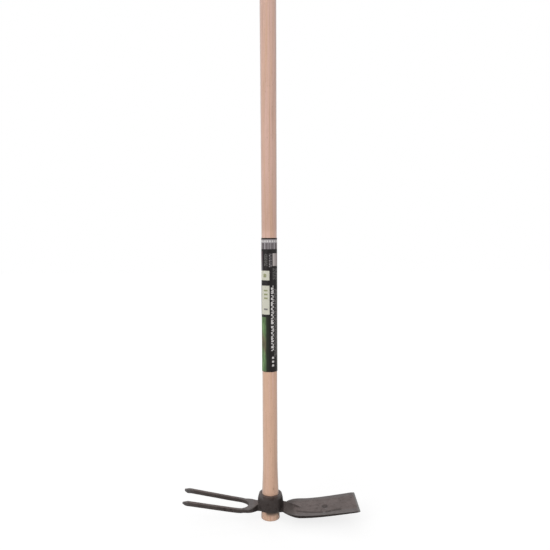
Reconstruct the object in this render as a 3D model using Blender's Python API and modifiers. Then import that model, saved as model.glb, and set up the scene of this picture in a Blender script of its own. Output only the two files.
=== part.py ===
# Double hoe: a forged head with a two-tine fork and a flat blade, wedged by
# friction on the flared end of a turned wooden handle that wears a printed
# wrap. Metres, +Z along the handle from the butt end to the grip, the blade
# at +X and the fork at -X. The origin is the centre of the flat butt end.

import math

import bmesh
import bpy
from mathutils import Vector

# Handle
HANDLE_LENGTH = 1.100
BUTT_RADIUS = 0.0161
EYE_TOP_HANDLE_RADIUS = 0.0143
SHAFT_RADIUS = 0.0126
GRIP_RADIUS = 0.0145
BUTT_STUB = 0.0165
BUTT_ROUND = 0.0012
FLARE_LENGTH = 0.0550
FLARE_POWER = 1.4
GRIP_DOME = 0.0110
GRIP_SWELL_POWER = 2.0

# Clearance between pieces that touch
FIT_GAP = 0.0003

# Eye of the head, a barrel-shaped ring whose lower rim hangs towards both necks
EYE_HEIGHT = 0.0279
EYE_RIM_WALL = 0.0040
EYE_BULGE = 0.0021
EYE_DROOP = 0.0021
EYE_DROOP_POWER = 1.6
EYE_CORNER = 0.0021
BORE_CHAMFER = 0.0007
CUT_PAST = 0.0040

# Blade, from its neck at the eye to the ground cutting edge
BLADE_REACH = 0.1505
BLADE_NECK_WIDTH = 0.0234
BLADE_SHOULDER_WIDTH = 0.0648
BLADE_SHOULDER_LENGTH = 0.0300
BLADE_SHOULDER_POWER = 0.73
BLADE_EDGE_WIDTH = 0.0734
BLADE_ROOT_THICKNESS = 0.0045
BLADE_TIP_THICKNESS = 0.0025
BLADE_TOP_HEIGHT = 0.0008
BLADE_SLOPE = 0.137
BLADE_BEND_REACH = 0.0745
BLADE_BEND_SOFTNESS = 0.0250
BLADE_CORNER = 0.0018
BLADE_CORNER_CUT = 0.0011
BLADE_RIM_ROUND = 0.0007
BEVEL_LENGTH = 0.0065
EDGE_THICKNESS = 0.0006

# Rib along the blade's neck: its flanks slope straight to the shoulders beside
# the eye, then sweep in to a narrow ridge that runs out on the plate
RIB_HEIGHT = 0.0114
RIB_LENGTH = 0.0307
RIB_FALL_POWER = 1.5
RIB_NECK_POWER = 1.15
RIB_PLATE_POWER = 6.0
RIB_FLANK_LENGTH = 0.0045
RIB_SWEEP_LENGTH = 0.0120

# Fork, a square bar bent to a U with splayed legs, and the web behind it
BACK_TINE_REACH = 0.1516
FRONT_TINE_REACH = 0.1483
FORK_NECK_WIDTH = 0.0164
FORK_NECK_THICKNESS = 0.0122
FORK_HEIGHT = 0.0039
FORK_SLOPE = 0.177
FORK_BEND_REACH = 0.0480
FORK_BEND_SOFTNESS = 0.0100
TINE_SIZE = 0.0066
TINE_CORNER = 0.0014
TINE_SPACING = 0.0410
TINE_SPLAY = math.radians(2.6)
CROTCH_REACH = 0.0380
WEB_SHOULDER_LENGTH = 0.0170
WEB_CORNER = 0.0022
WEB_PROUD = 0.0001
WEB_SIDE_INSET = 0.0006
WEB_REACH = 0.0470
CROTCH_ROUND = 0.0008
POINT_TOP_LENGTH = 0.0090
POINT_SIDE_LENGTH = 0.0066
POINT_BOTTOM_LENGTH = 0.0046
POINT_SIZE = 0.0024

# Fillets where both necks grow out of the eye
NECK_ROOT_DEPTH = 0.0045
NECK_SWELL = 0.0022
NECK_SWELL_LENGTH = 0.0085

# Printed wrap, a film rolled once round the shaft and lapped at the back
WRAP_START = 0.2580
WRAP_LENGTH = 0.2255
WRAP_THICKNESS = 0.00025
WRAP_LAP = 0.0080
WRAP_LIFT_ANGLE = math.radians(50.0)

# Facets
HANDLE_STEPS = 48
SHAFT_STEPS = 14
FLARE_STEPS = 7
DOME_STEPS = 6
EYE_STEPS = 72
BELLY_STEPS = 8
CORNER_STEPS = 3
ROOT_STEPS = 5
RIB_STEPS = 9
SHOULDER_STEPS = 16
PLATE_STEPS = 10
TINE_STEPS = 9
BEND_STEPS = 9
WEB_STEPS = 10
CROTCH_STEPS = 48
WRAP_STEPS = 56
MERGE_DISTANCE = 0.00001

# A rounding is held to this share of the wall or bar that it rounds
ROUND_LIMIT = 0.45

# Heights that follow from the sizes above
EYE_LOW = BUTT_STUB
EYE_TOP = BUTT_STUB + EYE_HEIGHT
FLARE_TOP = EYE_TOP + FLARE_LENGTH


def clamp(value, low=0.0, high=1.0):
    return max(low, min(high, value))


def mix(first, second, share):
    return first + (second - first) * share


def ease(share):
    share = clamp(share)
    return share * share * (3.0 - 2.0 * share)


def soft_bend(distance, softness):
    """Zero before a bend and the distance past it after, with a soft turn between."""
    return 0.5 * (distance + math.hypot(distance, softness))


def handle_radius(z):
    """Radius of the turned handle, without its end chamfer and dome."""
    if z <= EYE_TOP:
        return mix(BUTT_RADIUS, EYE_TOP_HANDLE_RADIUS, clamp(z / EYE_TOP))
    if z <= FLARE_TOP:
        swell = clamp((FLARE_TOP - z) / FLARE_LENGTH) ** FLARE_POWER
        return mix(SHAFT_RADIUS, EYE_TOP_HANDLE_RADIUS, swell)
    share = clamp((z - FLARE_TOP) / (HANDLE_LENGTH - FLARE_TOP))
    return mix(SHAFT_RADIUS, GRIP_RADIUS, share ** GRIP_SWELL_POWER)


def bore_radius(z):
    return handle_radius(z) + FIT_GAP


EYE_RIM_RADIUS = bore_radius(EYE_LOW) + EYE_RIM_WALL
EYE_RADIUS = EYE_RIM_RADIUS + EYE_BULGE


def clear_scene():
    for item in list(bpy.data.objects):
        bpy.data.objects.remove(item, do_unlink=True)


def make_collection(name):
    collection = bpy.data.collections.new(name)
    bpy.context.scene.collection.children.link(collection)
    return collection


def make_material(name, color, roughness, metallic):
    material = bpy.data.materials.new(name)
    material.use_nodes = True
    shader = material.node_tree.nodes["Principled BSDF"]
    shader.inputs["Base Color"].default_value = (*color, 1.0)
    shader.inputs["Roughness"].default_value = roughness
    shader.inputs["Metallic"].default_value = metallic
    material.diffuse_color = (*color, 1.0)
    return material


def add_object(name, mesh, collection, material=None):
    item = bpy.data.objects.new(name, mesh)
    collection.objects.link(item)
    if material is not None:
        mesh.materials.append(material)
    return item


def as_cutter(item):
    item.hide_render = True
    item.display_type = "WIRE"
    return item


def turned(name, profile, steps, collection, material=None):
    """Turn a profile of (radius, z) points about Z with a Screw modifier."""
    mesh = bpy.data.meshes.new(name)
    points = [(radius, 0.0, z) for radius, z in profile]
    edges = [(i, i + 1) for i in range(len(points) - 1)]
    mesh.from_pydata(points, edges, [])
    item = add_object(name, mesh, collection, material)
    screw = item.modifiers.new("turn", "SCREW")
    screw.angle = math.tau
    screw.steps = steps
    screw.render_steps = steps
    screw.use_merge_vertices = True
    screw.merge_threshold = MERGE_DISTANCE
    screw.use_smooth_shade = True
    return item


def loft(name, rings, collection, material=None):
    """Skin rings of equal count one after another and close both ends."""
    body = bmesh.new()
    loops = [[body.verts.new(point) for point in ring] for ring in rings]
    count = len(loops[0])
    for near, far in zip(loops, loops[1:]):
        for i in range(count):
            j = (i + 1) % count
            body.faces.new((near[i], near[j], far[j], far[i]))
    body.faces.new(loops[0])
    body.faces.new(tuple(reversed(loops[-1])))
    bmesh.ops.recalc_face_normals(body, faces=body.faces)
    mesh = bpy.data.meshes.new(name)
    body.to_mesh(mesh)
    body.free()
    return add_object(name, mesh, collection, material)


def combine(target, operand, operation):
    step = target.modifiers.new(operand.name, "BOOLEAN")
    step.operation = operation
    step.solver = "EXACT"
    step.object = operand


def quarter(across, up, radius, start, sweep):
    """Quarter circle of points about a corner's centre, from an angle onwards."""
    angles = [start + sweep * i / CORNER_STEPS for i in range(CORNER_STEPS + 1)]
    return [(across + radius * math.cos(a), up + radius * math.sin(a)) for a in angles]


def bar_section(half_width, low, high, corner):
    """Outline of a rounded bar as (y, z), with a point in the middle of each face."""
    radius = min(corner, ROUND_LIMIT * (high - low), ROUND_LIMIT * half_width)
    side = half_width - radius
    sweep = math.pi / 2
    outline = quarter(side, high - radius, radius, 0.0, sweep)
    outline.append((0.0, high))
    outline += quarter(-side, high - radius, radius, sweep, sweep)
    outline += quarter(-side, low + radius, radius, 2.0 * sweep, sweep)
    outline.append((0.0, low))
    outline += quarter(side, low + radius, radius, 3.0 * sweep, sweep)
    return outline


def ribbed_section(half_width, low, edge, corner, rib, power):
    """Outline of a plate whose top climbs from both edges to a ridge along the middle."""
    outline = bar_section(half_width, low, edge, corner)
    crest = outline.index((0.0, edge))
    side = outline[crest - 1][0]
    flank = []
    for i in range(1, RIB_STEPS):
        climb = math.sin(math.pi / 2 * i / RIB_STEPS)
        flank.append((side * (1.0 - climb), edge + rib * climb ** power))
    far_flank = [(-across, height) for across, height in reversed(flank)]
    return outline[:crest] + flank + [(0.0, edge + rib)] + far_flank + outline[crest + 1:]


def neck_swell(x):
    """How far a neck's fillet into the eye stands out at a distance from the axis."""
    past_root = x - EYE_RADIUS + NECK_ROOT_DEPTH
    return NECK_SWELL * (1.0 - clamp(past_root / NECK_SWELL_LENGTH)) ** 2


def neck_stations():
    """Distances from the axis along a neck's root, from inside the eye's wall."""
    root = EYE_RADIUS - NECK_ROOT_DEPTH
    fillet = [root + NECK_SWELL_LENGTH * i / ROOT_STEPS for i in range(ROOT_STEPS + 1)]
    return [0.5 * EYE_RADIUS] + fillet


def rim_droop(x):
    """How far the eye's lower rim hangs at a distance along the head."""
    return EYE_DROOP * clamp(abs(x) / EYE_RIM_RADIUS) ** EYE_DROOP_POWER


def neck_low(x):
    """Height of both necks' lower faces, a touch above the rim that they leave."""
    return EYE_LOW - rim_droop(x) + FIT_GAP


def build_handle(collection, material):
    """Flat eased butt, flared end in the eye, slim shaft and domed grip."""
    profile = [(0.0, HANDLE_LENGTH)]
    dome_low = HANDLE_LENGTH - GRIP_DOME
    for i in range(1, DOME_STEPS):
        angle = math.pi / 2 * i / DOME_STEPS
        height = dome_low + GRIP_DOME * math.cos(angle)
        profile.append((handle_radius(height) * math.sin(angle), height))
    heights = [mix(dome_low, FLARE_TOP, i / SHAFT_STEPS) for i in range(SHAFT_STEPS)]
    heights += [mix(FLARE_TOP, EYE_TOP, i / FLARE_STEPS) for i in range(FLARE_STEPS)]
    heights += [EYE_TOP, EYE_LOW]
    profile += [(handle_radius(z), z) for z in heights]
    rim = handle_radius(BUTT_ROUND) - BUTT_ROUND
    profile += quarter(rim, BUTT_ROUND, BUTT_ROUND, 0.0, -math.pi / 2)
    profile.append((0.0, 0.0))
    return turned("handle", profile, HANDLE_STEPS, collection, material)


def build_eye(collection, material):
    """Solid barrel with a hanging lower rim, bored later together with both necks."""
    side = EYE_RIM_RADIUS - EYE_CORNER
    high = EYE_TOP - EYE_CORNER
    low = EYE_LOW + EYE_CORNER
    profile = [(0.0, EYE_TOP)]
    profile += quarter(side, high, EYE_CORNER, math.pi / 2, -math.pi / 2)
    for i in range(1, BELLY_STEPS):
        share = i / BELLY_STEPS
        bulge = EYE_BULGE * (1.0 - (2.0 * share - 1.0) ** 2)
        profile.append((EYE_RIM_RADIUS + bulge, mix(high, low, share)))
    profile += quarter(side, low, EYE_CORNER, 0.0, -math.pi / 2)
    profile.append((0.0, EYE_LOW))
    barrel = turned("eye_form", profile, EYE_STEPS, collection)
    evaluated = barrel.evaluated_get(bpy.context.evaluated_depsgraph_get())
    mesh = bpy.data.meshes.new_from_object(evaluated)
    mesh.name = "forged_head"
    # The lower rim hangs most beside the necks, and the upper rim stays level
    for vertex in mesh.vertices:
        to_low_rim = clamp((EYE_TOP - vertex.co.z) / EYE_HEIGHT) ** 2
        vertex.co.z -= rim_droop(vertex.co.x) * to_low_rim
    bpy.data.objects.remove(barrel, do_unlink=True)
    return add_object("forged_head", mesh, collection, material)


def build_bore(collection):
    """Tapered bore that follows the handle, with its rims eased."""
    high = EYE_TOP - BORE_CHAMFER
    low = EYE_LOW + BORE_CHAMFER
    past_rim = EYE_LOW - EYE_DROOP - CUT_PAST
    profile = [
        (0.0, EYE_TOP + CUT_PAST),
        (bore_radius(EYE_TOP) + BORE_CHAMFER, EYE_TOP + CUT_PAST),
        (bore_radius(EYE_TOP) + BORE_CHAMFER, EYE_TOP),
        (bore_radius(high), high),
        (bore_radius(low), low),
        (bore_radius(EYE_LOW) + BORE_CHAMFER, EYE_LOW),
        (bore_radius(EYE_LOW) + BORE_CHAMFER, past_rim),
        (0.0, past_rim),
    ]
    return as_cutter(turned("bore_cutter", profile, HANDLE_STEPS, collection))


SHOULDER_END = EYE_RADIUS + BLADE_SHOULDER_LENGTH
BEVEL_START = BLADE_REACH - BEVEL_LENGTH


def blade_half_width(x):
    """Neck and round shoulders first, then a slow spread to the cutting edge."""
    root = 0.5 * BLADE_NECK_WIDTH + neck_swell(x)
    turn = math.pi / 2 * clamp((x - EYE_RADIUS) / BLADE_SHOULDER_LENGTH)
    shoulder = mix(root, 0.5 * BLADE_SHOULDER_WIDTH, math.sin(turn) ** BLADE_SHOULDER_POWER)
    spread = clamp((x - SHOULDER_END) / (BLADE_REACH - SHOULDER_END))
    return shoulder + 0.5 * (BLADE_EDGE_WIDTH - BLADE_SHOULDER_WIDTH) * spread


def blade_top(x):
    """Height of the plate's upper face, which lifts along its far half."""
    rise = BLADE_SLOPE * soft_bend(x - BLADE_BEND_REACH, BLADE_BEND_SOFTNESS)
    return EYE_LOW + BLADE_TOP_HEIGHT + rise


def blade_low(x):
    """Height of the plate's lower face, level with the neck's where they meet."""
    share = clamp((x - SHOULDER_END) / (BEVEL_START - SHOULDER_END))
    plate = blade_top(x) - mix(BLADE_ROOT_THICKNESS, BLADE_TIP_THICKNESS, share)
    return mix(neck_low(x), plate, ease((x - EYE_RADIUS) / BLADE_SHOULDER_LENGTH))


def blade_ring(x, half_width, low, top):
    """Section of the plate with its rib, which thins out to nothing along the plate."""
    fade = clamp((x - EYE_RADIUS) / RIB_LENGTH)
    rib = RIB_HEIGHT * (1.0 - fade ** RIB_FALL_POWER)
    swept = ease((x - EYE_RADIUS - RIB_FLANK_LENGTH) / RIB_SWEEP_LENGTH)
    power = mix(RIB_NECK_POWER, RIB_PLATE_POWER, swept)
    outline = ribbed_section(half_width, low, top, BLADE_RIM_ROUND, rib, power)
    return [Vector((x, y, z)) for y, z in outline]


def build_blade(collection):
    """Ribbed neck and flat plate: round shoulders, thinner to a ground cutting edge."""
    stations = neck_stations()
    root_end = stations.pop()
    stations += [mix(root_end, SHOULDER_END, i / SHOULDER_STEPS) for i in range(SHOULDER_STEPS)]
    stations += [mix(SHOULDER_END, BEVEL_START, i / PLATE_STEPS) for i in range(PLATE_STEPS + 1)]
    rings = [blade_ring(x, blade_half_width(x), blade_low(x), blade_top(x)) for x in stations]
    for x, cut in ((BLADE_REACH - BLADE_CORNER, 0.0), (BLADE_REACH, BLADE_CORNER_CUT)):
        ground = (x - BEVEL_START) / BEVEL_LENGTH
        half = 0.5 * mix(BLADE_TIP_THICKNESS, EDGE_THICKNESS, ground)
        middle = blade_top(x) - 0.5 * BLADE_TIP_THICKNESS
        rings.append(blade_ring(x, blade_half_width(x) - cut, middle - half, middle + half))
    return as_cutter(loft("blade_form", rings, collection))


FORK_RADIUS = 0.5 * TINE_SPACING
FORK_CENTRE = CROTCH_REACH - 0.5 * TINE_SIZE + FORK_RADIUS


def fork_height(reach):
    """Height of the bar's centre line at a distance from the handle's axis."""
    rise = FORK_SLOPE * soft_bend(reach - FORK_BEND_REACH, FORK_BEND_SOFTNESS)
    return EYE_LOW + FORK_HEIGHT + rise


def tine_ring(reach, y, heading, to_point):
    """Square section across the bar, drawn down near the point."""
    half = 0.5 * TINE_SIZE
    blunt = 0.5 * POINT_SIZE
    top = mix(blunt, half, clamp(to_point / POINT_TOP_LENGTH))
    low = mix(blunt, half, clamp(to_point / POINT_BOTTOM_LENGTH))
    wide = mix(blunt, half, clamp(to_point / POINT_SIDE_LENGTH))
    across = Vector((math.sin(heading), math.cos(heading), 0.0))
    centre = Vector((-reach, y, fork_height(reach)))
    outline = bar_section(wide, -low, top, TINE_CORNER)
    return [centre + across * a + Vector((0.0, 0.0, b)) for a, b in outline]


def leg_path(tip_reach):
    """Stops along one leg from its point to the middle of the bend, on the +Y side."""
    leg_x = FORK_CENTRE - FORK_RADIUS * math.sin(TINE_SPLAY)
    leg_y = FORK_RADIUS * math.cos(TINE_SPLAY)
    leg_length = (tip_reach - leg_x) / math.cos(TINE_SPLAY)
    marks = [0.0, POINT_BOTTOM_LENGTH, POINT_SIDE_LENGTH, POINT_TOP_LENGTH]
    marks += [mix(POINT_TOP_LENGTH, leg_length, i / TINE_STEPS) for i in range(1, TINE_STEPS)]
    path = []
    for mark in marks:
        along = leg_length - mark
        reach = leg_x + along * math.cos(TINE_SPLAY)
        path.append((reach, leg_y + along * math.sin(TINE_SPLAY), TINE_SPLAY, mark))
    for i in range(BEND_STEPS + 1):
        turn = mix(math.pi / 2 - TINE_SPLAY, 0.0, i / BEND_STEPS)
        reach = FORK_CENTRE - FORK_RADIUS * math.cos(turn)
        path.append((reach, FORK_RADIUS * math.sin(turn), math.pi / 2 - turn, leg_length))
    return path


def build_tines(collection):
    """One bar from point to point: leg, bend round the crotch, leg."""
    back = leg_path(BACK_TINE_REACH)
    front = [(reach, -y, math.pi - heading, mark)
             for reach, y, heading, mark in leg_path(FRONT_TINE_REACH)]
    rings = [tine_ring(*stop) for stop in back + list(reversed(front[:-1]))]
    return as_cutter(loft("tine_form", rings, collection))


def web_ring(reach):
    """Section of the fork's neck and of the flat web that spreads to the bar."""
    outer = FORK_RADIUS + 0.5 * TINE_SIZE - WEB_SIDE_INSET
    end_half = math.sqrt(outer ** 2 - (FORK_CENTRE - WEB_REACH) ** 2)
    share = math.sin(math.pi / 2 * clamp((reach - EYE_RADIUS) / WEB_SHOULDER_LENGTH))
    half_width = mix(0.5 * FORK_NECK_WIDTH, end_half, share) + neck_swell(reach)
    half = 0.5 * TINE_SIZE + WEB_PROUD
    low = mix(neck_low(reach), fork_height(reach) - half, share)
    top = mix(neck_low(reach) + FORK_NECK_THICKNESS, fork_height(reach) + half, share)
    outline = bar_section(half_width, low, top + neck_swell(reach), WEB_CORNER)
    return [Vector((-reach, y, z)) for y, z in outline]


def build_web(collection):
    """Neck and web, cut round along the inner side of the bent bar."""
    stations = neck_stations()
    root_end = stations[-1]
    stations += [mix(root_end, WEB_REACH, i / WEB_STEPS) for i in range(1, WEB_STEPS + 1)]
    web = loft("web_form", [web_ring(reach) for reach in stations], collection)
    inner_radius = FORK_RADIUS - 0.5 * TINE_SIZE + CROTCH_ROUND
    bpy.ops.mesh.primitive_cylinder_add(vertices=CROTCH_STEPS, radius=inner_radius,
                                        depth=2.0 * (TINE_SIZE + CUT_PAST),
                                        location=(-FORK_CENTRE, 0.0, fork_height(FORK_CENTRE)))
    crotch = bpy.context.active_object
    crotch.name = "crotch_cutter"
    for owner in list(crotch.users_collection):
        owner.objects.unlink(crotch)
    collection.objects.link(crotch)
    as_cutter(crotch)
    combine(web, crotch, "DIFFERENCE")
    return as_cutter(web)


def build_head(collection, cutters, material):
    """One forging: eye, blade, fork and web joined, then bored for the handle."""
    head = build_eye(collection, material)
    combine(head, build_blade(cutters), "UNION")
    combine(head, build_web(cutters), "UNION")
    combine(head, build_tines(cutters), "UNION")
    combine(head, build_bore(cutters), "DIFFERENCE")
    return head


def wrap_radius(angle, seat):
    """Radius of the film's inner face; it lifts over its own start for the lap."""
    lift = WRAP_THICKNESS + FIT_GAP
    return seat + lift * ease((angle - math.tau + 2.0 * WRAP_LIFT_ANGLE) / WRAP_LIFT_ANGLE)


def build_wrap(collection, material):
    """Film rolled round the shaft, standing on it and lapped on the far side."""
    top = WRAP_START + WRAP_LENGTH
    low_seat = handle_radius(WRAP_START) + FIT_GAP
    top_seat = handle_radius(top) + FIT_GAP
    start = math.pi / 2
    lap_angle = WRAP_LAP / low_seat
    body = bmesh.new()
    columns = []
    for i in range(WRAP_STEPS + 1):
        angle = (math.tau + lap_angle) * i / WRAP_STEPS
        low_radius = wrap_radius(angle, low_seat)
        top_radius = wrap_radius(angle, top_seat)
        turn = start + angle
        low = body.verts.new((low_radius * math.cos(turn), low_radius * math.sin(turn), WRAP_START))
        high = body.verts.new((top_radius * math.cos(turn), top_radius * math.sin(turn), top))
        columns.append((low, high))
    for (low, high), (next_low, next_high) in zip(columns, columns[1:]):
        body.faces.new((low, next_low, next_high, high))
    mesh = bpy.data.meshes.new("label_wrap")
    body.to_mesh(mesh)
    body.free()
    mesh.shade_smooth()
    wrap = add_object("label_wrap", mesh, collection, material)
    shell = wrap.modifiers.new("film", "SOLIDIFY")
    shell.thickness = WRAP_THICKNESS
    shell.offset = 1.0
    return wrap


def main():
    clear_scene()
    parts = make_collection("double_hoe")
    cutters = make_collection("double_hoe_cutters")
    wood = make_material("beech", (0.72, 0.50, 0.33), 0.55, 0.0)
    steel = make_material("forged_steel", (0.115, 0.095, 0.085), 0.60, 0.7)
    film = make_material("printed_film", (0.03, 0.03, 0.03), 0.35, 0.0)
    build_handle(parts, wood)
    build_head(parts, cutters, steel)
    build_wrap(parts, film)


main()
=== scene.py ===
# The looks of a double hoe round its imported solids: beech handle, forged head
# and printed wrap. Metres, in the solids' own frame: +Z up the handle from its
# butt end, the blade at +X, the fork at -X, and the photograph's camera at -Y.

import math

import bmesh
import bpy
import numpy as np
from mathutils import Matrix, Vector, noise
from mathutils.bvhtree import BVHTree


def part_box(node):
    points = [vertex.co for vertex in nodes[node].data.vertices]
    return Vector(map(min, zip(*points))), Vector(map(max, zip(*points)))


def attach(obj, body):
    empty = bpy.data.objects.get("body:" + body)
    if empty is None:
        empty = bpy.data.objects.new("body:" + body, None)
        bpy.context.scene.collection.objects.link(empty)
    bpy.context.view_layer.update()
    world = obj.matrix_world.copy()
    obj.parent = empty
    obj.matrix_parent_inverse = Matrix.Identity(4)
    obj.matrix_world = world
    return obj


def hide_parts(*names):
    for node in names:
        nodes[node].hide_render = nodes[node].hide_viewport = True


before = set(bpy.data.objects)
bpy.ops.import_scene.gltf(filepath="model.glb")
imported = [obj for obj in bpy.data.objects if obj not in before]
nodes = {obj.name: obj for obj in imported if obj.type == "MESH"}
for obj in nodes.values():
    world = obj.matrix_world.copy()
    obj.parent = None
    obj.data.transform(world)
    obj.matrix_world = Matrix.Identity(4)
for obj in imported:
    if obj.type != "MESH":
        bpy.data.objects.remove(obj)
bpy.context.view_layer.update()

# The photograph's camera, solved from the head's outline
PHOTO_SIZE = 550.0
FOCAL_LENGTH = 575.0
AXIS_COLUMN = 269.3
SENSOR_WIDTH = 36.0
CAMERA_PLACE = Vector((0.0, -0.969, 0.4835))
CAMERA_PITCH = math.radians(-3.68)
CAMERA_ROLL = math.radians(-0.29)
CAMERA_CLIP_END = 40.0

# Light: the sky's strength, and soft boxes by name with their place, target,
# width, height and power
SKY_LIGHT = 0.55
SOFT_BOXES = (
    ("key_left", (-1.5, -1.5, 1.2), (0.0, 0.0, 0.35), 1.0, 1.8, 17.5),
    ("fill_right", (1.7, -1.2, 0.9), (0.0, 0.0, 0.35), 0.8, 1.6, 8.5),
    ("back_high", (0.0, 2.2, 1.5), (0.0, 0.0, 0.0), 2.4, 1.2, 15.0),
    ("low_left", (-0.8, -0.3, 0.15), (0.0, 0.0, 0.12), 0.4, 0.4, 0.8),
)

# Floor: its tone where it lights the object and where it is seen, and the glow
# that brings the seen floor up to white, near the object and far from it
FLOOR_DROP = 0.0005
FLOOR_SIZE = 14.0
FLOOR_ROUGHNESS = 0.9
FLOOR_TONE = 0.80
FLOOR_SEEN_TONE = 0.25
FLOOR_GLOW_NEAR = 0.80
FLOOR_GLOW_FAR = 0.88
FLOOR_NEAR_REACH = 0.25
FLOOR_FAR_REACH = 1.20

WHITE = (1.0, 1.0, 1.0)
ORIGIN = (0.0, 0.0, 0.0)
EVEN = (1.0, 1.0, 1.0)


class Nodes:
    """The node tree of a world or material, with short calls for its nodes."""

    def __init__(self, owner):
        owner.use_nodes = True
        self.tree = owner.node_tree

    def put(self, socket, value):
        """Link a socket to another one, or give it a number, a vector or a colour."""
        if isinstance(value, bpy.types.NodeSocket):
            self.tree.links.new(value, socket)
        elif socket.type == "RGBA":
            socket.default_value = (*value, 1.0)
        else:
            socket.default_value = value

    def node(self, kind, **settings):
        made = self.tree.nodes.new(kind)
        for key, value in settings.items():
            setattr(made, key, value)
        return made

    def math(self, operation, first, second=0.0, third=0.0):
        step = self.node("ShaderNodeMath", operation=operation)
        for socket, value in zip(step.inputs, (first, second, third)):
            self.put(socket, value)
        return step.outputs[0]

    def span(self, value, low, high, to_low=0.0, to_high=1.0, kind="SMOOTHSTEP"):
        """A share that goes from to_low to to_high as a value goes from low to high."""
        step = self.node("ShaderNodeMapRange", interpolation_type=kind)
        self.put(step.inputs["Value"], value)
        self.put(step.inputs["From Min"], low)
        self.put(step.inputs["From Max"], high)
        self.put(step.inputs["To Min"], to_low)
        self.put(step.inputs["To Max"], to_high)
        return step.outputs["Result"]

    def mix(self, share, first, second):
        step = self.node("ShaderNodeMix", data_type="RGBA")
        self.put(step.inputs["Factor"], share)
        self.put(step.inputs["A"], first)
        self.put(step.inputs["B"], second)
        return step.outputs["Result"]

    def place(self, stretch=EVEN, start=ORIGIN):
        """The solids' own coordinates from a start, stretched along each axis."""
        mapping = self.node("ShaderNodeMapping")
        self.put(mapping.inputs["Vector"], self.node("ShaderNodeTexCoord").outputs["Object"])
        self.put(mapping.inputs["Location"], tuple(-s * k for s, k in zip(start, stretch)))
        self.put(mapping.inputs["Scale"], stretch)
        return mapping.outputs[0]

    def apart(self, stretch, start):
        """The distance from a start, stretched along each axis."""
        step = self.node("ShaderNodeVectorMath", operation="LENGTH")
        self.put(step.inputs[0], self.place(stretch, start))
        return step.outputs["Value"]

    def grain(self, stretch, detail, roughness, start=ORIGIN):
        """Cloudy noise whose stretch says how often it turns per metre along each axis."""
        cloud = self.node("ShaderNodeTexNoise")
        self.put(cloud.inputs["Vector"], self.place(stretch, start))
        self.put(cloud.inputs["Scale"], 1.0)
        self.put(cloud.inputs["Detail"], detail)
        self.put(cloud.inputs["Roughness"], roughness)
        return cloud.outputs["Fac"]

    def seen(self):
        """1 for rays that see, mirror or pass a surface, and 0 for rays that it lights."""
        path = self.node("ShaderNodeLightPath")
        seen = path.outputs["Is Camera Ray"]
        for ray in ("Is Glossy Ray", "Is Transmission Ray"):
            seen = self.math("MAXIMUM", seen, path.outputs[ray])
        return seen


class Paint(Nodes):
    """A material: its colour so far, and the readings that tell its zones apart."""

    def __init__(self, name, colour=WHITE, grains=None):
        self.material = bpy.data.materials.new(name)
        super().__init__(self.material)
        self.shader = self.tree.nodes["Principled BSDF"]
        self.colour = colour
        place = self.node("ShaderNodeSeparateXYZ")
        self.put(place.inputs[0], self.place())
        self.readings = {axis: place.outputs[axis.upper()] for axis in "xyz"}
        for reading, grain in (grains or {}).items():
            self.readings[reading] = self.grain(*grain)

    def give(self, name, value):
        """Set or link one of the shader's own sockets."""
        self.put(self.shader.inputs[name], value)

    def attribute(self, name, output="Fac"):
        return self.node("ShaderNodeAttribute", attribute_name=name).outputs[output]

    def ink(self, share, tone):
        """Lay a tone over the colour so far."""
        self.colour = self.mix(share, self.colour, tone)

    def lay(self, zones):
        """Lay each zone's tone, at its strength, where all of its factors hold."""
        for tone, strength, factors in zones.values():
            share = strength
            for reading, *span in factors:
                value = self.readings[reading]
                if span:
                    value = self.span(value, *span)
                share = self.math("MULTIPLY", share, value)
            self.ink(share, tone)

    def bump(self, height, distance):
        step = self.node("ShaderNodeBump")
        self.put(step.inputs["Height"], height)
        self.put(step.inputs["Distance"], distance)
        self.give("Normal", step.outputs["Normal"])

    def finish(self, roughness, metallic=0.0):
        self.give("Base Color", self.colour)
        self.give("Roughness", roughness)
        self.give("Metallic", metallic)
        return self.material


def link(item):
    bpy.context.scene.collection.objects.link(item)
    return item


def mesh_object(name, points, faces, material):
    mesh = bpy.data.meshes.new(name)
    mesh.from_pydata(points, [], faces)
    mesh.update()
    mesh.shade_smooth()
    mesh.materials.append(material)
    return link(bpy.data.objects.new(name, mesh))


def camera():
    data = bpy.data.cameras.new("photo_camera")
    data.sensor_width = SENSOR_WIDTH
    data.lens = SENSOR_WIDTH * FOCAL_LENGTH / PHOTO_SIZE
    data.shift_x = (0.5 * PHOTO_SIZE - AXIS_COLUMN) / PHOTO_SIZE
    data.clip_end = CAMERA_CLIP_END
    item = link(bpy.data.objects.new("photo_camera", data))
    level = Matrix.Rotation(math.pi / 2 + CAMERA_PITCH, 4, "X")
    item.matrix_world = Matrix.Translation(CAMERA_PLACE) @ level @ Matrix.Rotation(CAMERA_ROLL, 4, "Z")
    bpy.context.scene.camera = item


def soft_box(name, place, target, width, height, power):
    data = bpy.data.lights.new(name, "AREA")
    data.shape = "RECTANGLE"
    data.size = width
    data.size_y = height
    data.energy = power
    item = link(bpy.data.objects.new(name, data))
    item.visible_camera = False
    item.location = place
    item.rotation_euler = (Vector(target) - Vector(place)).to_track_quat("-Z", "Y").to_euler()


def white_world():
    world = bpy.data.worlds.new("white_studio")
    bpy.context.scene.world = world
    sky = Nodes(world)
    back = sky.tree.nodes["Background"]
    sky.put(back.inputs["Color"], WHITE)
    sky.put(back.inputs["Strength"], sky.span(sky.seen(), 0.0, 1.0, SKY_LIGHT, 1.0))


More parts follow.
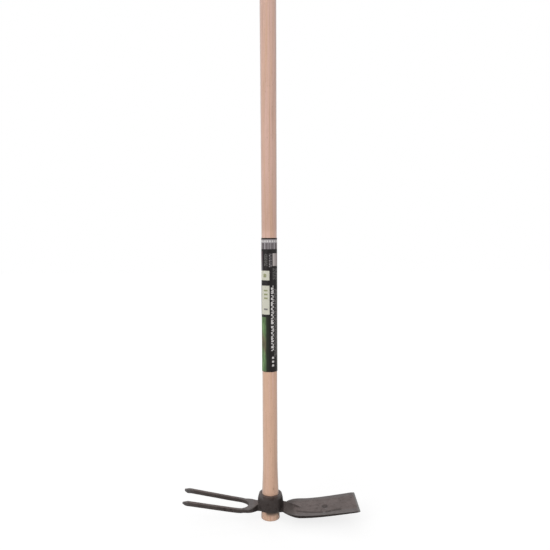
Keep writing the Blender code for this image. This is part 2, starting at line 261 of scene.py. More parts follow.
def floor_paint():
    paint = Paint("floor_paint")
    seen = paint.seen()
    reach = paint.apart(EVEN, ORIGIN)
    glow = paint.span(reach, FLOOR_NEAR_REACH, FLOOR_FAR_REACH, FLOOR_GLOW_NEAR, FLOOR_GLOW_FAR, "LINEAR")
    paint.give("Emission Color", WHITE)
    paint.give("Emission Strength", paint.math("MULTIPLY", seen, glow))
    paint.give("Specular IOR Level", 0.0)
    paint.colour = paint.span(seen, 0.0, 1.0, FLOOR_TONE, FLOOR_SEEN_TONE)
    return paint.finish(FLOOR_ROUGHNESS)


def surroundings():
    white_world()
    half = 0.5 * FLOOR_SIZE
    sides = ((-half, -half), (half, -half), (half, half), (-half, half))
    corners = [(x, y, -FLOOR_DROP) for x, y in sides]
    floor = mesh_object("floor", corners, [(0, 1, 2, 3)], floor_paint())
    for box in SOFT_BOXES:
        soft_box(*box)


# Beech handle
HANDLE_SIDES = 96
HANDLE_STEP = 0.005
HANDLE_SWING = 0.00008
HANDLE_SWING_SCALE = 1.7
HANDLE_SWING_ALONG = 9.0
LEAST_UNEVEN_RADIUS = 0.006
HANDLE_MERGE = 0.00001
HANDLE_SHARP_ANGLE = math.radians(50.0)
BEECH_PINK = (0.694, 0.455, 0.380)
BEECH_TAN = (0.676, 0.431, 0.308)
BEECH_DARK = (0.470, 0.290, 0.200)
BEECH_PALE = (0.700, 0.520, 0.330)
BEECH_RED = (0.560, 0.300, 0.215)
# Painted shade under the eye's lower rim, on the butt
BEECH_SHADE_UNDER_EYE = (0.075, 0.055, 0.045)
FLECK_TONE = (0.330, 0.165, 0.095)
KNOT_TONE = (0.150, 0.085, 0.050)
BEECH_SPECULAR = 0.12
BEECH_SHEEN = 0.75
BEECH_SHEEN_SPREAD = 0.45
BEECH_SHEEN_TINT = (0.700, 0.920, 1.000)
BEECH_ROUGHNESS = (0.30, 0.80, 0.66, 0.80)

# Year rings round the pith, of which the late wood is the dark part
PITH_PLACE = (0.034, -0.021, 0.0)
PITH_STRETCH = (1.0, 1.0, 0.0)
RING_SPACING = 0.0030
RING_WAVER = 0.0075
LATE_WOOD = 0.86
LATE_WOOD_REACH = 0.16

# Pink wood passes into tan by the cloud grain, and slowly along the handle
TAN_SPAN = (0.36, 0.64)
TAN_DRIFT = (0.05, 0.75, 0.12, -0.10)
FLECK_SPAN = (0.66, 0.73)
KNOT_PLACE = (0.0053, -0.0127, 0.0558)
KNOT_STRETCH = (1.0, 1.0, 0.55)
KNOT_SPAN = (0.0012, 0.0004)
FLECK_SINK = -0.4
KNOT_SINK = -0.8
BEECH_RELIEF = 0.00006

# Each grain: turns per metre along X, Y and Z, detail, roughness and any start
BEECH_GRAINS = {
    "waver": ((26.0, 26.0, 2.2), 3.0, 0.55),
    "cloud": ((210.0, 210.0, 5.0), 3.0, 0.60),
    "streak": ((420.0, 420.0, 9.0), 2.0, 0.50, (0.2, 0.5, 0.0)),
    "fibre": ((1500.0, 1500.0, 36.0), 3.0, 0.60),
    "pore": ((2600.0, 2600.0, 210.0), 1.0, 0.50),
    "fleck": ((1250.0, 1250.0, 260.0), 1.5, 0.50),
    "bruise": ((330.0, 330.0, 260.0), 3.0, 0.60),
}

# Each zone: its tone, its strength and its factors. A factor is a reading by
# itself, or a reading with where it gives 0 and where it gives 1.
BEECH_ZONES = {
    "streaks": (BEECH_DARK, 0.48, (("streak", 0.48, 0.72),)),
    "rings": (BEECH_DARK, 0.22, (("ring",),)),
    "handled above the wrap": (BEECH_DARK, 0.36, (("z", 0.490, 0.500), ("z", 0.660, 0.500))),
    "fibres": (BEECH_DARK, 0.52, (("fibre", 0.50, 0.78),)),
    "pores": (BEECH_DARK, 0.35, (("pore", 0.62, 0.80),)),
    "flecks": (FLECK_TONE, 0.55, (("fleck",),)),
    "round the knot": (BEECH_DARK, 0.30, (("from_knot", 0.0042, 0.0010),)),
    "knot": (KNOT_TONE, 0.42, (("from_knot", *KNOT_SPAN),)),
    "bare butt": (BEECH_PALE, 0.55, (("z", 0.0185, 0.0150), ("bruise", 0.52, 0.68))),
    "bruised butt": (BEECH_RED, 0.60, (("z", 0.0185, 0.0150), ("bruise", 0.48, 0.34))),
    # Painted shade under the eye's lower rim, fading out towards the left
    "painted shade under the eye": (BEECH_SHADE_UNDER_EYE, 0.97, (
        ("z", 0.0065, 0.0145),
        ("x", -0.0110, -0.0045),
        ("z", 0.0220, 0.0180),
    )),
}


def late_wood(paint):
    """The share of late wood where a year ring passes."""
    from_pith = paint.apart(PITH_STRETCH, PITH_PLACE)
    reach = paint.math("MULTIPLY_ADD", paint.readings["waver"], RING_WAVER, from_pith)
    phase = paint.math("FRACT", paint.math("DIVIDE", reach, RING_SPACING))
    off = paint.math("ABSOLUTE", paint.math("SUBTRACT", phase, LATE_WOOD))
    return paint.span(off, LATE_WOOD_REACH, 0.0)


def beech():
    paint = Paint("beech_wood", grains=BEECH_GRAINS)
    readings = paint.readings
    readings["ring"] = late_wood(paint)
    readings["fleck"] = paint.span(readings["fleck"], *FLECK_SPAN)
    readings["from_knot"] = paint.apart(KNOT_STRETCH, KNOT_PLACE)
    tan = paint.math("ADD", readings["cloud"], paint.span(readings["z"], *TAN_DRIFT))
    paint.colour = paint.mix(paint.span(tan, *TAN_SPAN), BEECH_PINK, BEECH_TAN)
    paint.lay(BEECH_ZONES)
    relief = paint.math("MULTIPLY_ADD", readings["fleck"], FLECK_SINK, readings["fibre"])
    knot = paint.span(readings["from_knot"], *KNOT_SPAN)
    paint.bump(paint.math("MULTIPLY_ADD", knot, KNOT_SINK, relief), BEECH_RELIEF)
    paint.give("Specular IOR Level", BEECH_SPECULAR)
    paint.give("Sheen Weight", BEECH_SHEEN)
    paint.give("Sheen Roughness", BEECH_SHEEN_SPREAD)
    paint.give("Sheen Tint", BEECH_SHEEN_TINT)
    return paint.finish(paint.span(readings["fibre"], *BEECH_ROUGHNESS))


def handle_profile():
    """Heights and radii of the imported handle's rings, from its own corners."""
    rings = {}
    for corner in nodes["handle"].data.vertices:
        height = round(corner.co.z, 6)
        rings[height] = max(rings.get(height, 0.0), math.hypot(corner.co.x, corner.co.y))
    heights = sorted(rings)
    return heights, [rings[height] for height in heights]


def handle_stops(heights):
    """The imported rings' heights with even steps between them."""
    stops = []
    for near, far in zip(heights, heights[1:]):
        pieces = max(1, math.ceil((far - near) / HANDLE_STEP))
        stops += [near + (far - near) * i / pieces for i in range(pieces)]
    return stops + [heights[-1]]


def handle_ring(height, radius):
    """One ring of the handle, very slightly out of round."""
    ring = []
    for side in range(HANDLE_SIDES):
        angle = math.tau * side / HANDLE_SIDES
        reach = radius
        if radius > LEAST_UNEVEN_RADIUS:
            spot = Vector((math.cos(angle), math.sin(angle), height * HANDLE_SWING_ALONG))
            reach += HANDLE_SWING * noise.noise(spot * HANDLE_SWING_SCALE)
        ring.append((reach * math.cos(angle), reach * math.sin(angle), height))
    return ring


def handle():
    heights, radii = handle_profile()
    stops = handle_stops(heights)
    points = []
    for height in stops:
        points += handle_ring(height, float(np.interp(height, heights, radii)))
    faces = []
    for ring in range(len(stops) - 1):
        near = ring * HANDLE_SIDES
        far = near + HANDLE_SIDES
        for side in range(HANDLE_SIDES):
            after = (side + 1) % HANDLE_SIDES
            faces.append((near + side, near + after, far + after, far + side))
    made = mesh_object("beech_handle", points, faces, beech())
    body = bmesh.new()
    body.from_mesh(made.data)
    bmesh.ops.remove_doubles(body, verts=body.verts, dist=HANDLE_MERGE)
    bmesh.ops.recalc_face_normals(body, faces=body.faces)
    body.to_mesh(made.data)
    body.free()
    made.data.set_sharp_from_angle(angle=HANDLE_SHARP_ANGLE)
    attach(made, "root")
    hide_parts("handle")


# Forged head: its fine mesh, and the unevenness that forging leaves
HEAD_VOXEL = 0.00045
SOLID_MERGE = 0.000001
BORE_REACH = 0.0172
HAMMER_SWING = 0.00011
HAMMER_SCALE = 95.0
SCALE_SWING = 0.00004
SCALE_SCALE = 520.0
SKIN_RISE = 0.00006
TINE_RISE = 0.00015
TINE_ROOT = (0.0500, 0.0700)

# Stretch of the blade's neck where the rib is rounded into the plate
NECK_START = (0.0190, 0.0235)
NECK_END = (0.0560, 0.0640)
NECK_MIDDLE = (0.0090, 0.0140)
NECK_ROUNDS = 30

# The blade's far shoulder stands a little fuller than the solid's
FAR_SHOULDER_START = (0.0245, 0.0300)
FAR_SHOULDER_END = (0.0340, 0.0700)
FAR_SHOULDER_SIDE = (0.0040, 0.0130)
FAR_SHOULDER_WIDER = 0.0014
FAR_SHOULDER_RISE = 0.0004

# Shallow forging grooves on the blade: half width, and points along each
GROOVES = (
    (0.0042, (
        (0.0455, -0.0150),
        (0.0520, -0.0170),
        (0.0600, -0.0195),
        (0.0720, -0.0219),
        (0.0865, -0.0238),
    )),
    (0.0052, ((0.0955, -0.0236), (0.1005, -0.0232))),
    (0.0056, ((0.1060, -0.0216), (0.1175, -0.0206))),
)
GROOVE_DEPTH = 0.00035

# Oval punch mark: its place, half axes and depth, then the reach of its flat
# floor and of its raised middle, and how much that rises
PUNCH_PLACE = (0.0939, -0.0036)
PUNCH_SIZE = (0.0070, 0.0088)
PUNCH_DEPTH = 0.00070
PUNCH_FLOOR = 0.45
PUNCH_MIDDLE = 0.30
PUNCH_MIDDLE_RISE = 0.15

# Small pits by the fork's neck and bare spots on the blade: place and radius
NECK_PITS = ((-0.0243, -0.0090, 0.0013), (-0.0262, -0.0080, 0.0009), (-0.0228, -0.0070, 0.0008))
PIT_DEPTH = 0.0006
BARE_SPOTS = ((0.0953, -0.0130, 0.0040), (0.0908, -0.0290, 0.0045))

# Cutting edge and points
GROUND_LENGTH = 0.0040
TINE_START = -0.10
BLUNT_TIP = (0.1385, 0.1480)
BLUNT_DROP = 0.0011

# The upward part of a face's normal from which it takes marks, and over which it passes
# from a side face to an upper one, which is painted lighter as light from above
MARKED_LEAN = 0.5
UPPER_LEAN = (0.35, 0.85)

# How far a corner stands out from its neighbours where wear starts and where
# it is full, in voxels
WORN_BULGE = (0.10, 0.35)

# Tones of the steel
SCALE_TONE = (0.051, 0.041, 0.038)
SCALE_LIGHT = (0.073, 0.060, 0.056)
# Lit copies of the scale's tones for upper faces: painted light from above
SCALE_TOP_LIT = (0.132, 0.106, 0.100)
SCALE_TOP_LIT_LIGHT = (0.162, 0.130, 0.123)
# Dark scale for patches, specks and hollows, also used as painted shade on the eye and beside the rib
SCALE_DARK_AND_SHADE = (0.018, 0.012, 0.011)
RUST_TONE = (0.070, 0.036, 0.024)
# Painted shade for the creases by the eye and for the blade's side walls
PAINTED_SHADE_TONE = (0.013, 0.009, 0.008)
# Bare steel for rubbed places, also used as a painted highlight on the eye's rim
BARE_AND_HIGHLIGHT_TONE = (0.150, 0.147, 0.149)
GROUND_TONE = (0.172, 0.170, 0.162)
GROUND_STREAK = (0.138, 0.134, 0.127)
LIGHT_SPAN = (0.35, 0.70)
GRINDING_SPAN = (0.35, 0.70)
UPPER_EVENNESS = -0.55
WEDGE_TILT = 0.75

# Gloss and relief of the steel
SCALE_SPECULAR = 0.14
SCALE_ROUGHNESS = (0.35, 0.70, 0.58, 0.74)
GROUND_SMOOTHER = -0.10
GROUND_METAL = 0.25
WORN_METAL = 0.10
PATCH_RELIEF = 1.6
GRINDING_RELIEF = 0.3
SCALE_RELIEF = 0.00010

# Each grain: turns per metre along X, Y and Z, detail, roughness and any start
STEEL_GRAINS = {
    "broad": ((46.0, 46.0, 46.0), 4.0, 0.60),
    "patch": ((170.0, 170.0, 170.0), 5.0, 0.62, (0.3, 0.1, 0.2)),
    "fine": ((1900.0, 1900.0, 1900.0), 4.0, 0.65),
    "mottle": ((430.0, 430.0, 430.0), 3.0, 0.60, (0.5, 0.2, 0.6)),
    "rust": ((95.0, 95.0, 95.0), 5.0, 0.70, (0.7, 0.4, 0.1)),
    "grinding": ((5200.0, 90.0, 90.0), 2.0, 0.60),
}

# Each zone: its tone, its strength and its factors. A factor is a reading by
# itself, or a reading with where it gives 0 and where it gives 1, or with the
# two shares that it gives there instead.
STEEL_ZONES = {
    "mottle": (SCALE_LIGHT, 0.45, (("mottle", 0.38, 0.62), ("uneven",))),
    "dark patches": (SCALE_DARK_AND_SHADE, 0.70, (("patch", 0.52, 0.72), ("uneven",))),
    "dark specks": (SCALE_DARK_AND_SHADE, 0.45, (("fine", 0.60, 0.78), ("uneven",))),
    "rust": (RUST_TONE, 0.40, (("rust", 0.60, 0.74),)),
    # Painted shade in the crease between the eye and the blade's neck
    "painted shade between eye and blade": (PAINTED_SHADE_TONE, 0.80, (
        ("x", 0.0110, 0.0170),
        ("x", 0.0245, 0.0205),
        ("z", 0.0410, 0.0370),
    )),
    # Painted shade on the lower faces between the eye and the fork
    "painted shade between eye and fork": (PAINTED_SHADE_TONE, 0.60, (
        ("x", -0.0200, -0.0230),
        ("x", -0.0320, -0.0270),
        ("lower",),
    )),
    # Painted shade on the eye's walls, darker towards the bottom
    "painted shade on the eye": (SCALE_DARK_AND_SHADE, 0.26, (("flank", 0.0225, 0.0190), ("z", 0.0430, 0.0360, 0.1, 1.0))),
    "rusty upper rim": (RUST_TONE, 0.40, (("flank", 0.0225, 0.0190), ("z", 0.0385, 0.0435))),
    # Painted highlight on the top of the eye's rim at both sides
    "painted highlight on the rim beside the necks": (BARE_AND_HIGHLIGHT_TONE, 0.45, (
        ("flank", 0.0100, 0.0150),
        ("flank", 0.0240, 0.0190),
        ("z", 0.0370, 0.0420),
    )),
    "blade's neck": (SCALE_LIGHT, 0.75, (("x", 0.0225, 0.0260), ("x", 0.0435, 0.0375))),
    "shadowed far side of the rib": (SCALE_DARK_AND_SHADE, 0.50, (
        ("tilt", 0.0390, 0.0350),
        ("y", -0.0060, -0.0030),
        ("x", 0.0395, 0.0420),
        ("upper",),
    )),
    "rubbed margins of the blade": (BARE_AND_HIGHLIGHT_TONE, 0.40, (
        ("margin", 0.0220, 0.0262),
        ("x", 0.0300, 0.0400),
        ("upper",),
    )),
    # Painted shade on the blade's side walls
    "painted shade on the blade's side walls": (PAINTED_SHADE_TONE, 0.75, (("x", 0.0300, 0.0380), ("lower",))),
    "rubbed web": (BARE_AND_HIGHLIGHT_TONE, 0.40, (("x", -0.0620, -0.0540), ("x", -0.0260, -0.0320), ("upper",))),
    "rubbed points": (BARE_AND_HIGHLIGHT_TONE, 0.75, (("x", -0.1300, -0.1500), ("patch", 0.60, 0.30, 0.45, 1.0))),
    "filled hollows": (SCALE_DARK_AND_SHADE, 1.0, (("hollow",), ("patch", 0.62, 0.38, 0.45, 0.90))),
    "worn edges": (GROUND_TONE, 0.22, (("worn",),)),
    "bare spots": (BARE_AND_HIGHLIGHT_TONE, 0.50, (("bare",),)),
}


def forged_scale():
    paint = Paint("forged_scale", grains=STEEL_GRAINS)
    readings = paint.readings
    for name in ("worn", "hollow", "ground", "upper", "bare"):
        readings[name] = paint.attribute(name)
    upper, ground, patch = readings["upper"], readings["ground"], readings["patch"]
    readings["lower"] = paint.math("SUBTRACT", 1.0, upper)
    readings["uneven"] = paint.math("MULTIPLY_ADD", upper, UPPER_EVENNESS, 1.0)
    readings["flank"] = paint.math("ABSOLUTE", readings["x"])
    readings["margin"] = paint.math("ABSOLUTE", readings["y"])
    readings["tilt"] = paint.math("MULTIPLY_ADD", readings["x"], WEDGE_TILT, readings["y"])
    # Upper faces take the lit tones: painted light from above
    tone = paint.mix(upper, SCALE_TONE, SCALE_TOP_LIT)
    light = paint.mix(upper, SCALE_LIGHT, SCALE_TOP_LIT_LIGHT)
    paint.colour = paint.mix(paint.span(readings["broad"], *LIGHT_SPAN), tone, light)
    paint.lay(STEEL_ZONES)
    grinding = readings["grinding"]
    paint.ink(ground, paint.mix(paint.span(grinding, *GRINDING_SPAN), GROUND_TONE, GROUND_STREAK))
    relief = paint.math("MULTIPLY_ADD", patch, PATCH_RELIEF, readings["fine"])
    relief = paint.math("MULTIPLY", relief, paint.math("SUBTRACT", 1.0, ground))
    relief = paint.math("MULTIPLY_ADD", grinding, paint.math("MULTIPLY", ground, GRINDING_RELIEF), relief)
    paint.bump(relief, SCALE_RELIEF)
    roughness = paint.math("MULTIPLY_ADD", ground, GROUND_SMOOTHER, paint.span(patch, *SCALE_ROUGHNESS))
    ground_metal = paint.math("MULTIPLY", ground, GROUND_METAL)
    worn_metal = paint.math("MULTIPLY", readings["worn"], WORN_METAL)
    paint.give("Specular IOR Level", SCALE_SPECULAR)
    return paint.finish(roughness, paint.math("MAXIMUM", ground_metal, worn_metal))


def fine_copy(name, source, voxel):
    """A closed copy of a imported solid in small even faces, laid on its surface."""
    item = link(bpy.data.objects.new(name, source.data.copy()))
    item.data.materials.clear()
    body = bmesh.new()
    body.from_mesh(item.data)
    bmesh.ops.remove_doubles(body, verts=body.verts, dist=SOLID_MERGE)
    body.to_mesh(item.data)
    tree = BVHTree.FromBMesh(body)
    body.free()
    step = item.modifiers.new("even", "REMESH")
    step.mode = "VOXEL"
    step.voxel_size = voxel
    step.adaptivity = 0.0
    graph = bpy.context.evaluated_depsgraph_get()
    even = bpy.data.meshes.new_from_object(item.evaluated_get(graph))
    item.modifiers.clear()
    item.data = even
    for corner in even.vertices:
        corner.co = tree.find_nearest(corner.co)[0]
    even.update()
    return item


def ramp(value, low, high):
    """A soft rise from 0 to 1 as a value goes from low to high."""
    share = np.clip((value - low) / (high - low), 0.0, 1.0)
    return share * share * (3.0 - 2.0 * share)


def smooth_dip(distance, radius):
    share = max(0.0, 1.0 - (distance / radius) ** 2)
    return share * share


def groove_share(spot):
    """How deep in the shallow forging grooves on the blade's upper face a point lies."""
    share = 0.0
    for half_width, line in GROOVES:
        gap = math.inf
        for (ax, ay), (bx, by) in zip(line, line[1:]):
            run = (bx - ax, by - ay)
            part = ((spot.x - ax) * run[0] + (spot.y - ay) * run[1]) / (run[0] ** 2 + run[1] ** 2)
            part = max(0.0, min(1.0, part))
            gap = min(gap, math.hypot(spot.x - ax - part * run[0], spot.y - ay - part * run[1]))
        share = max(share, smooth_dip(gap, half_width))
    return share


def punch_share(spot):
    """How deep in the plain oval punch mark on the blade a point lies."""
    aside = (spot.x - PUNCH_PLACE[0]) / PUNCH_SIZE[0]
    along = (spot.y - PUNCH_PLACE[1]) / PUNCH_SIZE[1]
    reach = math.hypot(aside, along)
    floor = smooth_dip(max(0.0, reach - PUNCH_FLOOR), 1.0 - PUNCH_FLOOR)
    return floor - PUNCH_MIDDLE_RISE * smooth_dip(reach, PUNCH_MIDDLE)


def spot_share(spot, place):
    """How far inside a round spot, given by its middle and radius, a point lies."""
    x, y, radius = place
    return smooth_dip(math.hypot(spot.x - x, spot.y - y), radius)


def upper_marks(spot):
    """How deep a point of an upper face lies in a groove or mark, and how far it is pressed in."""
    share = depth = 0.0
    if spot.x > BORE_REACH:
        line = groove_share(spot)
        mark = punch_share(spot)
        share = max(line, mark)
        depth = GROOVE_DEPTH * line + PUNCH_DEPTH * mark
    for pit in NECK_PITS:
        dip = spot_share(spot, pit)
        share = max(share, dip)
        depth += PIT_DEPTH * dip
    return share, depth


def corner_rows(mesh, name):
    """One row of three numbers for each corner of a mesh."""
    rows = np.empty(len(mesh.vertices) * 3)
    mesh.vertices.foreach_get(name, rows)
    return rows.reshape(-1, 3)


def put_corners(mesh, places):
    mesh.vertices.foreach_set("co", places.astype(np.float32).ravel())
    mesh.update()


def beside(mesh, places):
    """The middle of each corner's neighbours."""
    edges = np.empty(len(mesh.edges) * 2, np.int64)
    mesh.edges.foreach_get("vertices", edges)
    edges = edges.reshape(-1, 2)
    ends = np.concatenate((edges, edges[:, ::-1]))
    shares = np.bincount(ends[:, 0], minlength=len(places))[:, None]
    sums = [np.bincount(ends[:, 0], places[ends[:, 1], axis], len(places)) for axis in range(3)]
    return np.stack(sums, axis=1) / shares


def draw_out(mesh, high):
    """Bring the cutting edge and the points out again to where the solid ends."""
    places = corner_rows(mesh, "co")
    normals = corner_rows(mesh, "normal")
    corners = nodes["forged_head"].data.vertices
    blade_end = places[:, 0].max()
    places[:, 0] += ramp(places[:, 0], blade_end - GROUND_LENGTH, blade_end) * (high.x - blade_end)
    for side in (-1.0, 1.0):
        tine = (places[:, 0] < TINE_START) & (places[:, 1] * side > 0.0)
        real_end = min(corner.co.x for corner in corners if corner.co.y * side > 0.0)
        tine_end = places[tine, 0].min()
        share = ramp(-places[tine, 0], -tine_end - GROUND_LENGTH, -tine_end)
        places[tine, 0] += share * (real_end - tine_end)
    blunt = ramp(-places[:, 0], *BLUNT_TIP) * (places[:, 1] > 0.0)
    places[:, 2] += BLUNT_DROP * blunt * np.minimum(normals[:, 2], 0.0)
    put_corners(mesh, places)


def soften_neck(mesh):
    """Round the rib into the blade, as a forging hammer leaves it."""
    places = corner_rows(mesh, "co")
    share = ramp(places[:, 0], *NECK_START) * (1.0 - ramp(places[:, 0], *NECK_END))
    share *= 1.0 - ramp(np.abs(places[:, 1]), *NECK_MIDDLE)
    share *= np.hypot(places[:, 0], places[:, 1]) > BORE_REACH
    even = places.copy()
    for _ in range(NECK_ROUNDS):
        even = 0.5 * (even + beside(mesh, even))
    put_corners(mesh, places + share[:, None] * (even - places))


def hammered(places, normals, ground):
    """How far each corner rises, and how hollow and how bare it is."""
    rise = np.zeros(len(places))
    hollow = np.zeros(len(places))
    bare = np.zeros(len(places))
    skin = SKIN_RISE + TINE_RISE * ramp(-places[:, 0], *TINE_ROOT)
    outside = np.hypot(places[:, 0], places[:, 1]) > BORE_REACH
    for i in np.flatnonzero(outside):
        spot = Vector(places[i])
        swing = HAMMER_SWING * noise.noise(spot * HAMMER_SCALE)
        swing += SCALE_SWING * noise.noise(spot * SCALE_SCALE)
        rise[i] = skin[i] + swing * (1.0 - ground[i])
        if normals[i, 2] > MARKED_LEAN:
            hollow[i], depth = upper_marks(spot)
            rise[i] -= depth
            bare[i] = max(spot_share(spot, place) for place in BARE_SPOTS)
    return rise, hollow, bare


def far_shoulder(places):
    """The share of each corner in the blade's far shoulder."""
    share = ramp(places[:, 0], *FAR_SHOULDER_START) * (1.0 - ramp(places[:, 0], *FAR_SHOULDER_END))
    return share * ramp(places[:, 1], *FAR_SHOULDER_SIDE)


def worn_edges(mesh):
    """How far each corner stands out from its neighbours."""
    places = corner_rows(mesh, "co")
    bulge = ((places - beside(mesh, places)) * corner_rows(mesh, "normal")).sum(axis=1) / HEAD_VOXEL
    low, high = WORN_BULGE
    return np.clip((bulge - low) / (high - low), 0.0, 1.0)


def head():
    item = fine_copy("forged_steel_head", nodes["forged_head"], HEAD_VOXEL)
    mesh = item.data
    low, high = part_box("forged_head")
    draw_out(mesh, high)
    soften_neck(mesh)
    places = corner_rows(mesh, "co")
    normals = corner_rows(mesh, "normal")
    ground = ramp(places[:, 0], high.x - GROUND_LENGTH, high.x - 0.5 * GROUND_LENGTH)
    rise, hollow, bare = hammered(places, normals, ground)
    fuller = far_shoulder(places)
    places += normals * rise[:, None]
    places[:, 1] += FAR_SHOULDER_WIDER * fuller
    places[:, 2] += FAR_SHOULDER_RISE * fuller
    put_corners(mesh, np.clip(places, np.array(low), np.array(high)))
    readings = {
        "hollow": hollow,
        "ground": ground,
        "upper": ramp(normals[:, 2], *UPPER_LEAN),
        "bare": bare,
        "worn": worn_edges(mesh),
    }
    for name, values in readings.items():
        layer = mesh.attributes.new(name, "FLOAT", "POINT")
        layer.data.foreach_set("value", values.astype(np.float32))
    mesh.materials.append(forged_scale())
    mesh.shade_smooth()
    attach(item, "root")
    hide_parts("forged_head")


# Printed wrap: its film, and the lap at its end, which starts to lift and is
# fully lifted by these angles before a full turn
WRAP_SIDES = 132
WRAP_ROWS = 90
FILM_THICKNESS = 0.00022
LAP_LENGTH = 0.0080
LAP_LIFT = 0.00047
LAP_LIFT_START = math.radians(60.0)
LAP_LIFT_END = math.radians(10.0)
CRINKLE = 0.00006
CRINKLE_AROUND = 2.5
CRINKLE_ALONG = 60.0
FILM_SPECULAR = 0.16
FILM_ROUGHNESS = 0.38
FILM_RELIEF = 0.00020

# Inks
INK_BLACK = (0.013, 0.011, 0.011)
INK_WHITE = (0.620, 0.600, 0.590)
INK_PALE = (0.600, 0.590, 0.500)
INK_SILVER = (0.310, 0.285, 0.298)
INK_PLUM = (0.050, 0.038, 0.040)
INK_ROSE = (0.470, 0.425, 0.410)
INK_DUSK = (0.240, 0.200, 0.198)
INK_STEEL = (0.150, 0.155, 0.165)
INK_WINE = (0.085, 0.050, 0.060)
INK_GREY = (0.190, 0.182, 0.176)
INK_FAINT = (0.085, 0.075, 0.074)
INK_OLIVE = (0.290, 0.300, 0.170)
LEAF_DARK = (0.085, 0.150, 0.062)
LEAF_LIGHT = (0.165, 0.285, 0.115)
LEAF_DEEP = (0.016, 0.019, 0.012)
SOIL_DARK = (0.080, 0.075, 0.046)
SOIL_LIGHT = (0.150, 0.138, 0.075)

# The print's own plane: across from the front line and up from the lower end.
# A panel is its left, right, lower and upper edge.
ALL_ROUND = (-1.0, 1.0)

# Head band: teeth and stripes, each a pitch and the share of it that is inked
HEAD_BAND = (0.2070, 0.2232)
TEETH_BAND = (0.2184, 0.2216)
TEETH = (0.0043, 0.64)
STRIPE_BAND = (0.2070, 0.2172)
STRIPES = ((0.0027, 0.50, INK_PLUM), (0.0086, 0.30, INK_SILVER), (0.0061, 0.16, INK_PLUM))

# Panels that pass from one ink to another
FADED_PANEL = (-0.0260, -0.0126, 0.1600, 0.2035)
FADE_UP = (0.1600, 0.2035)
SIDE_PANEL = (0.0058, 0.0190, 0.1790, 0.2000)
FADE_ACROSS = (0.0060, 0.0170)

# Columns of dashes: the first one's left edge, the step to the next, a dash's
# width, the column's lower and upper end, the dashes' pitch, their share of it,
# their ink, and a seed for each column
DASH_COLUMNS = (
    (-0.0088, 0.0022, 0.0011, 0.1790, 0.1990, 0.0013, 0.52, INK_GREY, (3.1, 9.4, 15.7)),
    (-0.0004, 0.0026, 0.0014, 0.1770, 0.1994, 0.0012, 0.52, INK_SILVER, (21.3, 27.9)),
    (0.0062, 0.0027, 0.0012, 0.1560, 0.1750, 0.0013, 0.50, INK_GREY, (44.0, 48.0, 53.0, 57.0)),
    (0.0027, 0.0, 0.0026, 0.0360, 0.1460, 0.0034, 0.52, INK_WHITE, (71.0,)),
    (0.0053, 0.0, 0.0019, 0.0360, 0.1460, 0.0034, 0.52, INK_WHITE, (75.0,)),
    (0.0088, 0.0026, 0.0014, 0.0260, 0.1400, 0.0022, 0.52, INK_GREY, (83.0, 89.0, 97.0, 101.0)),
)

# Plain panels with their ink, and stacks of marks: left, right and lower edges,
# a mark's height and ink
PLAIN_PANELS = (
    ((-0.0200, 0.0002, 0.1550, 0.1710), INK_PALE),
    ((-0.0110, -0.0050, 0.1600, 0.1660), INK_OLIVE),
    ((-0.0160, 0.0002, 0.0975, 0.1460), INK_PALE),
)
MARK_STACKS = (
    (-0.0100, -0.0030, (0.1235, 0.1300, 0.1365), 0.0028, INK_OLIVE),
    (-0.0100, -0.0030, (0.1050,), 0.0028, INK_GREY),
    (0.0040, 0.0078, (0.0095, 0.0160, 0.0225), 0.0034, INK_WHITE),
)

# Field of leaf and soil tones: a leaning band of soil between leaf tones, and
# where across it they deepen
FIELD_PANEL = (-0.0230, -0.0012, 0.0006, 0.0930)
FIELD_LEAN = 1.2
FIELD_MIDDLE = 0.036
FIELD_LEAFY = (0.005, 0.022)
FIELD_DEEP = (-0.0090, -0.0045)
FIELD_SPAN = (0.35, 0.65)

# Back panel and its lines
BACK_PANEL = (0.0215, 0.0345, 0.0200, 0.1400)
BACK_LINES = 13
BACK_LINE_TOP = 0.133
BACK_LINE_PITCH = 0.0085
BACK_LINE_HEIGHT = 0.0011
BACK_LINE_EDGES = (0.0232, 0.0325)
BACK_LINE_SHORTER = 0.0021
BACK_LINE_LENGTHS = 3

# Each grain: turns per metre along X, Y and Z, detail and roughness
FILM_GRAINS = {
    "blend": ((230.0, 230.0, 52.0), 3.0, 0.60),
    "crinkle": ((120.0, 120.0, 40.0), 2.0, 0.50),
}


class Print(Paint):
    """A print on the wrap, laid down panel by panel over its ground colour."""

    def __init__(self, name, ground):
        super().__init__(name, ground, FILM_GRAINS)
        place = self.node("ShaderNodeSeparateXYZ")
        self.put(place.inputs[0], self.attribute("print_place", "Vector"))
        self.across, self.up = place.outputs["X"], place.outputs["Y"]

    def between(self, value, low, high):
        over = self.math("GREATER_THAN", value, low)
        return self.math("MULTIPLY", over, self.math("LESS_THAN", value, high))

    def panel(self, left, right, low, high):
        sides = self.between(self.across, left, right)
        return self.math("MULTIPLY", sides, self.between(self.up, low, high))

    def bars(self, pitch, share, low, high):
        """Upright bars all round the wrap, as part of each pitch."""
        beat = self.math("FRACT", self.math("DIVIDE", self.across, pitch))
        on = self.math("LESS_THAN", beat, share)
        return self.math("MULTIPLY", on, self.panel(*ALL_ROUND, low, high))

    def dashes(self, left, width, low, high, pitch, share, seed):
        """A column of plain blocks of unequal length."""
        beat = self.node("ShaderNodeTexNoise", noise_dimensions="1D")
        self.put(beat.inputs["W"], self.math("MULTIPLY_ADD", self.up, 1.0 / pitch, seed))
        self.put(beat.inputs["Scale"], 1.0)
        self.put(beat.inputs["Detail"], 0.0)
        on = self.math("LESS_THAN", beat.outputs["Fac"], share)
        return self.math("MULTIPLY", on, self.panel(left, left + width, low, high))


